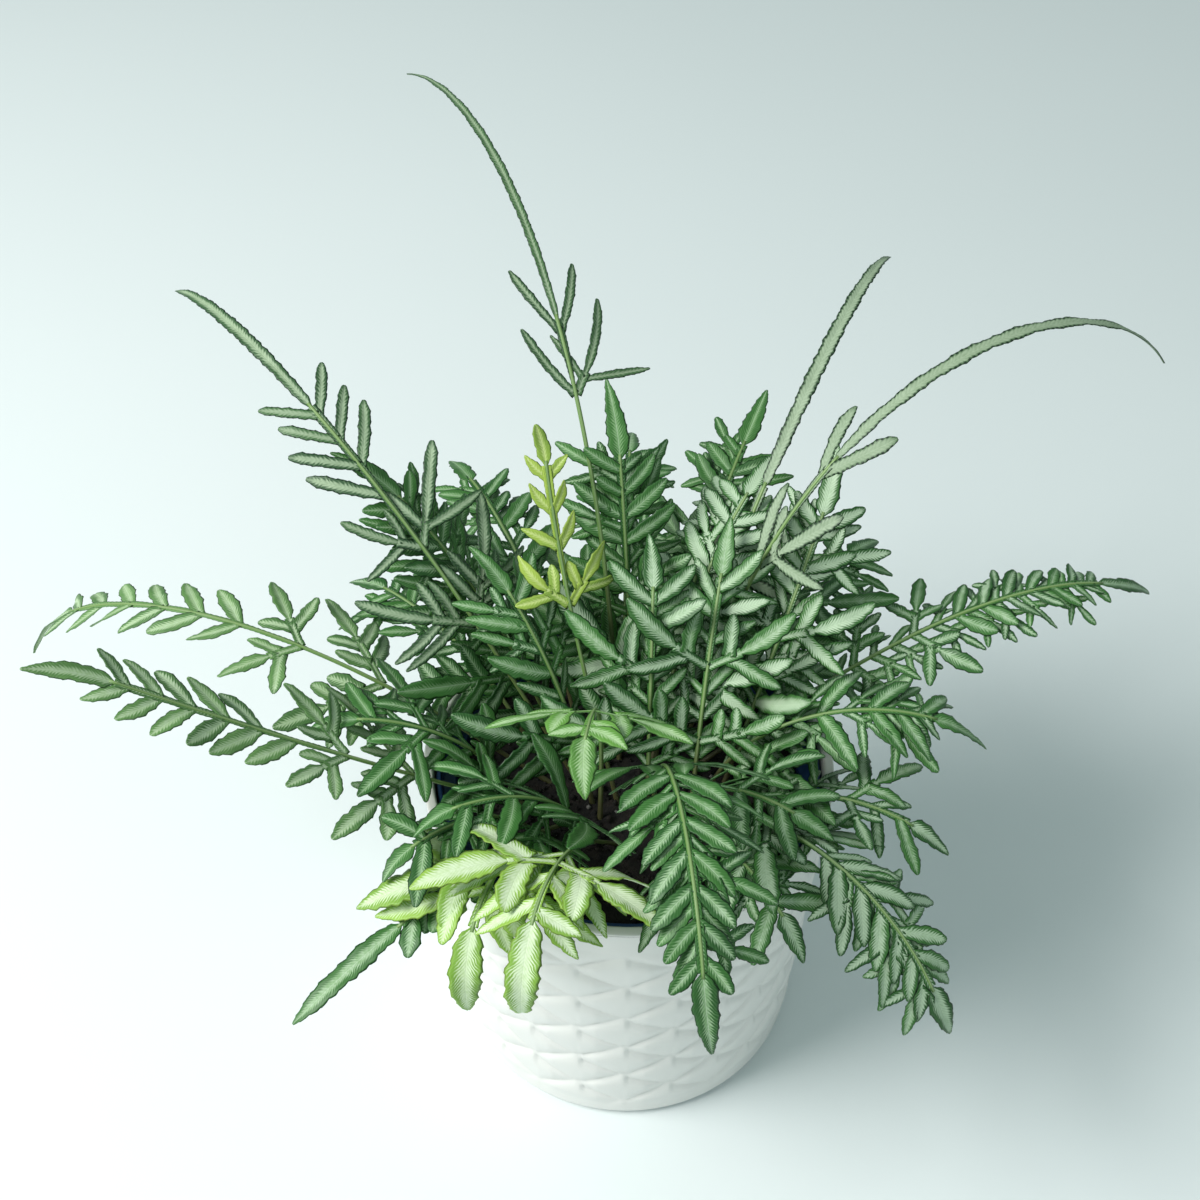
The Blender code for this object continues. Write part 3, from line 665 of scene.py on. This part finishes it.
# Name, form, heading, lean and droop in degrees, length in mm, foot (radius in mm, angle),
# sweep, roll, bend, and how silver its leaflets are
fronds = [
    frond("front_hanging", "hanging", 276, 5, 166, 178, (21, 292), 0, 0, 1.5, 0.35),
    frond("right_hanging", "hanging", 315, 28, 135, 142, (30, 318), -6, 0, 1.2, 0.8),
    frond("lime_left", "lime", 223, 35, 158, 102, (34, 234), 46, 0, 1.7, 0.5),
    frond("lime_right", "lime", 235, 37, 173, 122, (27, 262), 31, 0, 2.5, 0.7),
    frond("lime_tip", "lance", 230, 48, 70, 122, (27, 222), -12, 0, 0.8, 0.5),
    frond("tall_back", "tall", 99, 13, 103, 315, (11, 105), 19, 0, 1.25, 0.3),
    frond("upper_left", "fertile", 156, 29, 93, 253, (18, 176), -33, -15, 1.9, 0.5),
    frond("left_low", "sparse", 195, 54, 5, 182, (30, 204), -15, 0, 1.4, 0.5),
    frond("left_high", "sparse", 170, 52, 98, 222, (29, 178), -12, 0, 1.8, 0.4),
    frond("bright_front", "young", 262, -8, 132, 116, (18, 238), 0, 0, 2.0, 0.5),
    frond("unrolling", "unrolling", 128, 21, 18, 135, (9, 245), -29, 0, 1.2, 0.4),
    frond("right_broad", "leafy", 2, 12, 118, 116, (28, 352), -10, 0, 1.0, 0.45),
    frond("right_thin", "thin", 16, 56, 85, 192, (25, 16), 0, 0, 2.5, 0.5),
    frond("whip_inner", "whip", 48, 32, 93, 224, (15, 52), 19, 0, 2.6, 0.5),
    frond("whip_outer", "whip", 34, 14, 132, 267, (27, 40), -15, 0, 1.85, 0.5),
    frond("silver_right", "leafy", 44, 22, 30, 125, (34, 2), 25, 0, 1.4, 0.85),
    frond("silver_middle", "leafy", 66, 8, 85, 136, (9, 10), -8, 0, 1.1, 0.95),
    frond("tall_middle", "leafy", 98, 12, 28, 132, (20, 84), 0, 0, 1.4, 0.35),
    frond("left_inner", "leafy", 148, 20, 45, 138, (27, 150), 0, 0, 1.4, 0.25),
    frond("middle_left", "leafy", 132, 12, 52, 104, (15, 214), 0, 0, 1.3, 0.4),
    frond("middle_right", "leafy", 78, 12, 52, 104, (24, 335), 0, 0, 1.3, 0.6),
    frond("middle", "leafy", 88, 8, 58, 100, (13, 300), 0, 0, 1.3, 0.55),
    frond("left_middle", "leafy", 184, 18, 88, 90, (38, 192), 0, 0, 1.3, 0.25),
    frond("left_front", "leafy", 216, 18, 104, 76, (39, 218), 0, 0, 1.2, 0.2),
    frond("front_left_low", "leafy", 204, 14, 98, 82, (27, 241), 0, 0, 1.2, 0.2),
    frond("front_right_low", "leafy", 322, 14, 98, 82, (21, 312), 0, 0, 1.2, 0.4),
    frond("right_front", "leafy", 300, 18, 116, 86, (35, 302), 0, 0, 1.2, 0.6),
    frond("right_low", "leafy", 337, 30, 104, 86, (39, 338), 0, 0, 1.2, 0.6),
    frond("back_dark", "leafy", 65, 22, 60, 132, (29, 66), 0, 0, 1.3, 0.15),
    frond("back_right", "leafy", 44, 30, 84, 104, (39, 38), 0, 0, 1.2, 0.35),
    frond("back_middle", "leafy", 88, 34, 88, 128, (38, 92), 0, 0, 1.2, 0.35),
    frond("back_left", "leafy", 118, 28, 90, 126, (35, 122), 0, 0, 1.2, 0.35),
    frond("back_far_left", "leafy", 142, 32, 82, 96, (40, 152), 0, 0, 1.2, 0.35),
]

slots = {
    "narrow": "fern_narrow",
    "whip": "fern_narrow",
    "leafy": "fern_leafy",
    "light": "fern_leafy",
    "lime": "fern_lime",
    "young": "fern_young",
    "unrolling": "fern_unrolling",
}


class Spine:
    # The curve a frond's middle follows: its tilt turns from the lean by the droop as a
    # power of the distance, its heading by the sweep; it runs on straight past both ends

    def __init__(self, made):
        share = np.linspace(0, 1, layout["spineSteps"] + 1)
        self.length = made["length"] * mm
        self.tilt = np.radians(made["lean"] + made["droop"] * share ** made["bend"])
        self.heading = np.radians(made["heading"] + made["sweep"] * share)
        self.distance = share * self.length
        self.roll = math.radians(made["roll"])
        along = self.directions(self.tilt, self.heading)
        steps = (along[1:] + along[:-1]) / 2 * self.length / layout["spineSteps"]
        radius, angle = made["foot"][0] * mm, math.radians(made["foot"][1])
        foot = [radius * math.cos(angle), radius * math.sin(angle), layout["soilLevel"]]
        self.points = foot + np.vstack([np.zeros(3), np.cumsum(steps, axis=0)])

    @staticmethod
    def directions(tilt, heading):
        level = np.sin(tilt)
        return np.stack([level * np.cos(heading), level * np.sin(heading), np.cos(tilt)], axis=-1)

    def place(self, s, u, lift):
        # The point at s along, u sideways and lift off the face, for arrays of any shape
        tilt = np.interp(s, self.distance, self.tilt)
        heading = np.interp(s, self.distance, self.heading)
        along = self.directions(tilt, heading)
        side = np.stack([-np.sin(heading), np.cos(heading), 0 * heading], axis=-1)
        turned = side * math.cos(self.roll) + np.cross(along, side) * math.sin(self.roll)
        middle = np.stack([np.interp(s, self.distance, self.points[:, k]) for k in range(3)], axis=-1)
        beyond = s - np.clip(s, 0, self.length)
        face = np.cross(along, turned)
        return middle + along * beyond[..., None] + turned * u[..., None] + face * lift[..., None]


def leafletPlaces(made, room):
    # How far up each pair stands, its forks and its scale, squeezed or stretched to the room
    for count in range(made["pairs"], 0, -1):
        places, at = [], 0.0
        for pair in range(count):
            forks, following = max(0, made["forked"] - pair), max(0, made["forked"] - pair - 1)
            scale = made["taper"] ** pair
            places.append((at, forks, scale))
            at += made["spacing"] * mm * (0.3 + 0.7 * scale)
            at += made["lobe"] * mm * scale * (0.40 * (forks > 0) + 0.36 * (following > 0))
        if places[-1][0] * layout["leastSqueeze"] <= room:
            break
    squeeze = min(layout["mostStretch"], room / max(places[-1][0], layout["gap"]))
    return [(at * squeeze, forks, scale) for at, forks, scale in places]


def limb(base, along, foot, made, scale, forks, rise):
    # The blades of one leaflet, flat: one, or a rib with side lobes and an end lobe
    length = made["lobe"] * mm * scale
    width = made["width"] * mm * (0.3 + 0.7 * scale)
    end = dict(base=base, along=along, foot=foot, length=length, width=width, rise=rise)
    end["outline"] = made["outline"]
    if not forks:
        return [end]
    across = np.array([-along[1], along[0]])
    turn, sideWidth = layout["sideAngle"], width * layout["sideWidth"]
    pitch = (sideWidth + layout["gap"]) / math.sin(turn)
    ribLength = layout["stalk"] + forks * pitch
    half = layout["midribHalf"]
    blades = []
    for row in range(1, forks + 1):
        for side, reach in zip((-1, 1), layout["sideLengths"]):
            side = -side * made["lowSide"]
            away = along * math.cos(turn) + across * side * math.sin(turn)
            start = base + along * (layout["stalk"] + (row - 0.5) * pitch) + across * side * half
            long = length * reach * (1 - layout["sideShorter"] * (row - 1))
            lobe = dict(base=start, along=away, foot=sideWidth * 0.45, length=long, width=sideWidth)
            blades.append(dict(lobe, rise=rise, outline="strap"))
    rib = dict(base=base, along=along, foot=foot, length=ribLength, width=layout["ribWidth"])
    end.update(base=base + along * ribLength, foot=half)
    return [*blades, end, dict(rib, rise=rise, outline="rib")]


def tries(forks):
    for fewer in range(forks + 1):
        for size in layout["sizes"]:
            for bend in layout["bends"]:
                yield size, bend, forks - fewer


def farFromSolid(blades, spine, tree):
    # How far the blades' tips, ribs apart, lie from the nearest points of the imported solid
    tips = np.array([b["base"] + b["along"] * b["length"] for b in blades if b["outline"] != "rib"])
    rise = np.array([b["rise"] for b in blades if b["outline"] != "rib"])
    s, u = tips.T
    places = spine.place(s, u, rise * np.abs(u) - layout["curl"] * u * u)
    return max(tree.find(Vector(place))[2] for place in places)


def frondBlades(made, chance, tree):
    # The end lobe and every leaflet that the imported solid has
    kind = forms[made["kind"]]
    spine = Spine(made)
    start, end = spine.length * kind["stem"], spine.length * (1 - kind["tip"])
    footHalf = layout["foot"] / 2
    places = leafletPlaces(kind, end - start - layout["foot"])
    end = max(end, start + places[-1][0] + layout["foot"])
    blades = [
        dict(
            base=np.array([end, 0.0]),
            along=np.array([1.0, 0.0]),
            foot=layout["rachisHalf"],
            length=spine.length - end,
            width=kind["width"] * mm,
            rise=0.0,
            outline=kind["tipOutline"],
        )
    ]
    for at, forks, scale in places:
        s = start + at
        half = layout["stemHalf"] + (layout["rachisHalf"] - layout["stemHalf"]) * s / spine.length
        for side in (-1, 1):
            angle = math.radians(kind["angle"] + chance.uniform(-layout["angleSpread"], layout["angleSpread"]))
            rise = chance.uniform(-layout["riseSpread"], layout["riseSpread"])
            grow = scale * chance.uniform(*layout["sizeSpread"])
            along = np.array([math.cos(angle), math.sin(angle) * side])
            base = np.array([s, side * half])
            sided = dict(kind, lowSide=side)
            options = [
                limb(base, along, footHalf, sided, grow * size, kept, rise + bend)
                for size, bend, kept in tries(forks)
            ]
            far = [farFromSolid(option, spine, tree) for option in options]
            if min(far) < layout["found"]:
                blades += options[far.index(min(far))]
    return spine, blades, end, [start + at for at, _, _ in places]


# Small leaflets that only the finer fronds have: between the pairs and below the first

undergrowth = {
    "size": (0.82, 1.14),
    "width": 0.84,
    "angle": (34, 70),
    "sink": (0.08, 0.46),
    "apart": 9 * mm,
    "lowest": 14 * mm,
    "forkedShare": 0.6,
}


def extraBlades(made, spine, pairs, looks):
    # Leaflets at equal shares of each gap, and rows at the same spacing below the pairs,
    # sunk behind the frond's face by a share of the distance from the spine
    kind = forms[made["kind"]]
    if not kind["under"]:
        return []
    step = undergrowth["apart"]
    rows = [pairs[0] - step * (row + 0.7) for row in range(kind["under"])]
    for low, high in zip(pairs, pairs[1:]):
        rows += np.linspace(low, high, max(1, round((high - low) / step) - 1) + 2)[1:-1].tolist()
    blades = []
    for s in rows:
        for side in (-1, 1):
            angle = math.radians(looks.uniform(*undergrowth["angle"]))
            scale = kind["small"] * looks.uniform(*undergrowth["size"]) * (1 - 0.25 * s / spine.length)
            forks = int(looks.random() < undergrowth["forkedShare"])
            sink = -looks.uniform(*undergrowth["sink"])
            if s < undergrowth["lowest"]:
                continue
            along = np.array([math.cos(angle), math.sin(angle) * side])
            base = np.array([s, side * layout["rachisHalf"]])
            small = dict(kind, width=kind["width"] * undergrowth["width"], lowSide=side)
            blades += limb(base, along, layout["foot"] / 2, small, scale, forks, sink)
    return blades


# The finer blades

blade = {
    "columns": np.array([-1, -0.80, -0.34, 0, 0.34, 0.80, 1.0]),
    "tooth": 1.9 * mm,
    "toothDepth": 0.15 * mm,
    "lobings": (0.075, 0.055),
    "lobePitches": (3.9 * mm, 7.1 * mm),
    "half": 0.18 * mm,
    "ridge": 0.22 * mm,
    "groove": 0.12 * mm,
    "fold": 0.24,
    "arch": 0.06,
    "longest": 24 * mm,
    "ripple": 0.13,
    "twist": 0.20,
    "curve": (0.02, 0.34),
    "sunk": 0.9 * mm,
    "plain": ("rib", "wing"),
    "straight": ("rib", "wing", "whip"),
}


def shellQuads(rows, columns):
    # A top grid and an under grid that share their border
    top = np.arange(rows * columns).reshape(rows, columns)
    under = top.copy()
    under[1:-1, 1:-1] = rows * columns + np.arange((rows - 2) * (columns - 2)).reshape(rows - 2, columns - 2)
    return np.vstack([gridQuads(top), gridQuads(under)[:, ::-1]])


def flatBlade(given, kind, chance):
    # Share v along and w across of each row and column, half widths and flat places. The
    # middle line turns by the angle c v toward the frond's tip: it runs sin(c v) / c along
    # and (1 - cos(c v)) / c aside. The edge stands off by w half(v), swings out in shallow
    # lobes, two cosines of the distance, and has teeth.
    outline, length, along = given["outline"], given["length"], given["along"]
    plain = outline in blade["plain"]
    width = given["width"] * (1 if plain else kind["fine"])
    teeth = max(3, round(length / blade["tooth"]))
    share = np.stack([np.arange(teeth), np.arange(teeth) + 0.72], axis=1).ravel() / teeth
    v = np.concatenate([[-blade["sunk"] / length], share, [1.0]])[:, None]
    crest = np.concatenate([[0.0], np.tile([0.0, 1.0], teeth), [0.0]])[:, None] * np.clip(v * 6, 0, 1)
    w = blade["columns"][None, :]
    stations, widths = np.array(outlines[outline]).T
    near = np.clip(v * length / (2.2 * mm), 0, 1) ** 1.3
    half = np.interp(v, stations, widths) * width / 2
    half = min(given["foot"], width / 2) * (1 - near) + half * near
    swing = 0
    for depth, pitch in zip(blade["lobings"], blade["lobePitches"]):
        phase = np.where(w < 0, chance.uniform(0, 2 * math.pi), chance.uniform(0, 2 * math.pi))
        swing = swing + depth * np.cos(phase + v * length * 2 * math.pi / pitch)
    reach = w * half * (1 + (not plain) * near * swing)
    reach += np.sign(w) * (np.abs(w) == 1) * crest * blade["toothDepth"]
    curve = chance.uniform(*blade["curve"]) + kind["wild"] * chance.uniform(-0.4, 0.4) + 1e-4
    turn = (1e-4 if outline in blade["straight"] else curve) * v
    across = np.array([-along[1], along[0]])
    ahead = 1 if across[0] >= 0 else -1
    run, aside = np.sin(turn) / turn[-1] * length, (1 - np.cos(turn)) / turn[-1] * length
    middle = given["base"] + along * run + across * ahead * aside
    sideways = across * np.cos(turn) - along * np.sin(turn) * ahead
    return v, w, half, middle[:, None] + sideways[:, None] * reach[..., None]


def bladeShell(spine, given, kind, chance, silver):
    # The flat blade lifts by the rise, a fold |w|, an arch v^2, a ripple and a twist w v,
    # and the shell is pushed off that middle surface by sqrt(1 - w^2)
    plain = given["outline"] in blade["plain"]
    length = given["length"]
    v, w, half, flat = flatBlade(given, kind, chance)
    s, u = flat[..., 0], flat[..., 1]
    lift = given["rise"] * np.abs(u) - layout["curl"] * u * u
    lift += half * (blade["fold"] * np.abs(w) ** 1.4 - 0.12 * w**4)
    lift += half * blade["ripple"] * np.sin(v * length / (3.0 * mm) + chance.uniform(0, 6) + w) * np.abs(w) ** 1.5
    arch = chance.uniform(0.2 - kind["wild"], 1.8 + kind["wild"]) * blade["arch"]
    twist = chance.uniform(-1, 1) * (blade["twist"] + kind["wild"] * 0.6)
    if given["outline"] not in blade["straight"]:
        lift -= arch * min(length, blade["longest"]) * np.clip(v, 0, 1) ** 2
        lift += half * w * twist * np.clip(v, 0, 1)
    middle = spine.place(s, u, lift)
    normal = np.cross(np.gradient(middle, axis=0), np.gradient(middle, axis=1))
    normal /= np.linalg.norm(normal, axis=-1)[..., None] + 1e-12
    swell = np.sqrt(np.clip(1 - w**2, 0, 1)) * np.ones_like(v)
    swell[[0, -1]] = 0
    crease = np.exp(-((w / 0.12) ** 2)) * (swell > 0)
    top = middle + normal * (swell * blade["half"] - crease * blade["groove"])[..., None]
    under = middle - normal * (swell * blade["half"] + crease * blade["ridge"])[..., None]
    points = np.vstack([top.reshape(-1, 3), under[1:-1, 1:-1].reshape(-1, 3)])
    one = np.ones_like(v * w)
    leaf = np.stack([v * length / mm * one, w * one, half / mm * one], axis=-1)
    place = np.stack([v * (not plain) * one, chance.random() * one, silver * one], axis=-1)
    both = [np.vstack([a.reshape(-1, 3), a[1:-1, 1:-1].reshape(-1, 3)]) for a in (leaf, place)]
    return points, shellQuads(*swell.shape).tolist(), both


stem = {"sides": 10, "step": 2.5 * mm, "flat": 0.85, "swollen": 0.25, "bare": 1.0}


def stemTube(spine, end, silver):
    # Rings along the spine, an ellipse each, a little swollen at the foot
    count = int((end + layout["sunk"]) / stem["step"]) + 2
    s = np.linspace(-layout["sunk"], end + 1.5 * mm, count)[:, None]
    angle = np.linspace(0, 2 * math.pi, stem["sides"], endpoint=False)[None, :]
    half = layout["stemHalf"] + (layout["rachisHalf"] - layout["stemHalf"]) * np.clip(s, 0, None) / spine.length
    half = half * (stem["bare"] + stem["swollen"] * np.exp(-np.clip(s, 0, None) / (8 * mm)))
    u, lift = half * np.cos(angle), half * stem["flat"] * np.sin(angle)
    points = spine.place(s + 0 * angle, u, lift)
    numbers = np.arange(points[..., 0].size).reshape(count, stem["sides"])
    faces = gridQuads(numbers, around=True)[:, ::-1].tolist()
    faces += [numbers[0, ::-1].tolist(), numbers[-1].tolist()]
    leaf = np.stack([s / mm + 0 * angle, np.cos(angle) + 0 * s, half / mm + 0 * angle], axis=-1)
    place = np.stack([s / spine.length + 0 * angle, 0 * s + 0 * angle, silver + 0 * s + 0 * angle], axis=-1)
    return points.reshape(-1, 3), faces, [leaf.reshape(-1, 3), place.reshape(-1, 3)]


def makeFrond(made, chance, looks):
    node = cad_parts["frond_" + made["name"]]
    tree = KDTree(len(node.data.vertices))
    for vertex in node.data.vertices:
        tree.insert(vertex.co, vertex.index)
    tree.balance()
    kind = forms[made["kind"]]
    spine, blades, end, pairs = frondBlades(made, chance, tree)
    wing = dict(base=np.array([pairs[0], 0.0]), along=np.array([1.0, 0.0]), length=end - pairs[0])
    wing.update(foot=layout["rachisHalf"], width=layout["wingWidth"], rise=0.0, outline="wing")
    blades += [wing, *extraBlades(made, spine, pairs, looks)]
    shells = [bladeShell(spine, given, kind, looks, made["silver"]) for given in blades]
    shells.append(stemTube(spine, end, made["silver"]))
    points, faces, indices, leaf, place = [], [], [], [], []
    first = 0
    for number, (some, theirs, attributes) in enumerate(shells):
        points.append(some)
        faces += [[first + k for k in face] for face in theirs]
        indices += [int(number == len(shells) - 1)] * len(theirs)
        leaf.append(attributes[0])
        place.append(attributes[1])
        first += len(some)
    piece = pieceFrom(
        "frond_" + made["name"] + "_leaves",
        np.vstack(points),
        faces,
        [leafLooks[kind["finish"]], stemFinished],
        indices,
        {"leaf": np.vstack(leaf), "place": np.vstack(place)},
    )
    finished(piece, "frond_" + made["name"], slots[kind["finish"]])
    return len(blades), sum(len(face) - 2 for face in faces)


chance, looks = random.Random(layout["seed"]), random.Random(31)
for _ in range(layout["soilDraws"]):  # the solids' soil takes the first draws
    chance.random()
totals = [makeFrond(made, chance, looks) for made in fronds]
print("fronds made:", len(totals), "blades:", sum(t[0] for t in totals), "triangles:", sum(t[1] for t in totals))


# Floor, light and camera

studio = {
    "floor": colour(0.80, 0.85, 0.855),
    "floorDarker": colour(0.76, 0.815, 0.82),
    "sky": colour(0.80, 1.0, 0.985),
    "skyStrength": 0.36,
    "keyPlace": (-1.10, -0.35, 1.25),
    "keySize": 0.9,
    "keyPower": 31,
    "fillPlace": (0.7, -0.9, 1.3),
    "fillSize": 1.6,
    "fillPower": 2.5,
    "cameraPlace": (-0.0096, -0.359, 0.58),
    "cameraDown": 46,
    "lens": 50.4,
}


def makeFloor():
    # A wide flat grid
    line = np.linspace(-3, 3, 9)
    x, y = np.meshgrid(line, line, indexing="ij")
    look = Look("studioFloor", Roughness=0.7)
    # The floor's colour mixes with a slightly darker one in large soft patches
    look.feed("Base Color", look.mix(look.noise(2, 2), studio["floor"], studio["floorDarker"]))
    points = np.stack([x, y, 0 * x - 0.0002], axis=-1).reshape(-1, 3)
    floor = pieceFrom("floor", points, gridQuads(np.arange(81).reshape(9, 9)).tolist(), [look.material])


def aim(made, place, target):
    made.location = place
    made.rotation_euler = (Vector(target) - Vector(place)).to_track_quat("-Z", "Y").to_euler()


def makeLight(name, place, size, power, tint):
    data = bpy.data.lights.new(name, "AREA")
    data.shape = "DISK"
    data.size = size
    data.energy = power
    data.color = tint
    made = bpy.data.objects.new(name, data)
    bpy.context.scene.collection.objects.link(made)
    aim(made, place, (0, 0, 0.12))


def makeStudio():
    makeFloor()
    makeLight("key", studio["keyPlace"], studio["keySize"], studio["keyPower"], (1.0, 0.99, 0.97))
    makeLight("fill", studio["fillPlace"], studio["fillSize"], studio["fillPower"], (0.93, 0.97, 1.0))
    world = bpy.data.worlds.new("sky")
    world.use_nodes = True
    world.node_tree.nodes["Background"].inputs["Color"].default_value = studio["sky"]
    world.node_tree.nodes["Background"].inputs["Strength"].default_value = studio["skyStrength"]
    bpy.context.scene.world = world
    bpy.context.scene.view_settings.view_transform = "Standard"
    data = bpy.data.cameras.new("camera")
    data.lens = studio["lens"]
    camera = bpy.data.objects.new("camera", data)
    camera.location = studio["cameraPlace"]
    camera.rotation_euler = (math.radians(90 - studio["cameraDown"]), 0, 0)
    bpy.context.scene.collection.objects.link(camera)
    bpy.context.scene.camera = camera


makeStudio()
print("studio made")
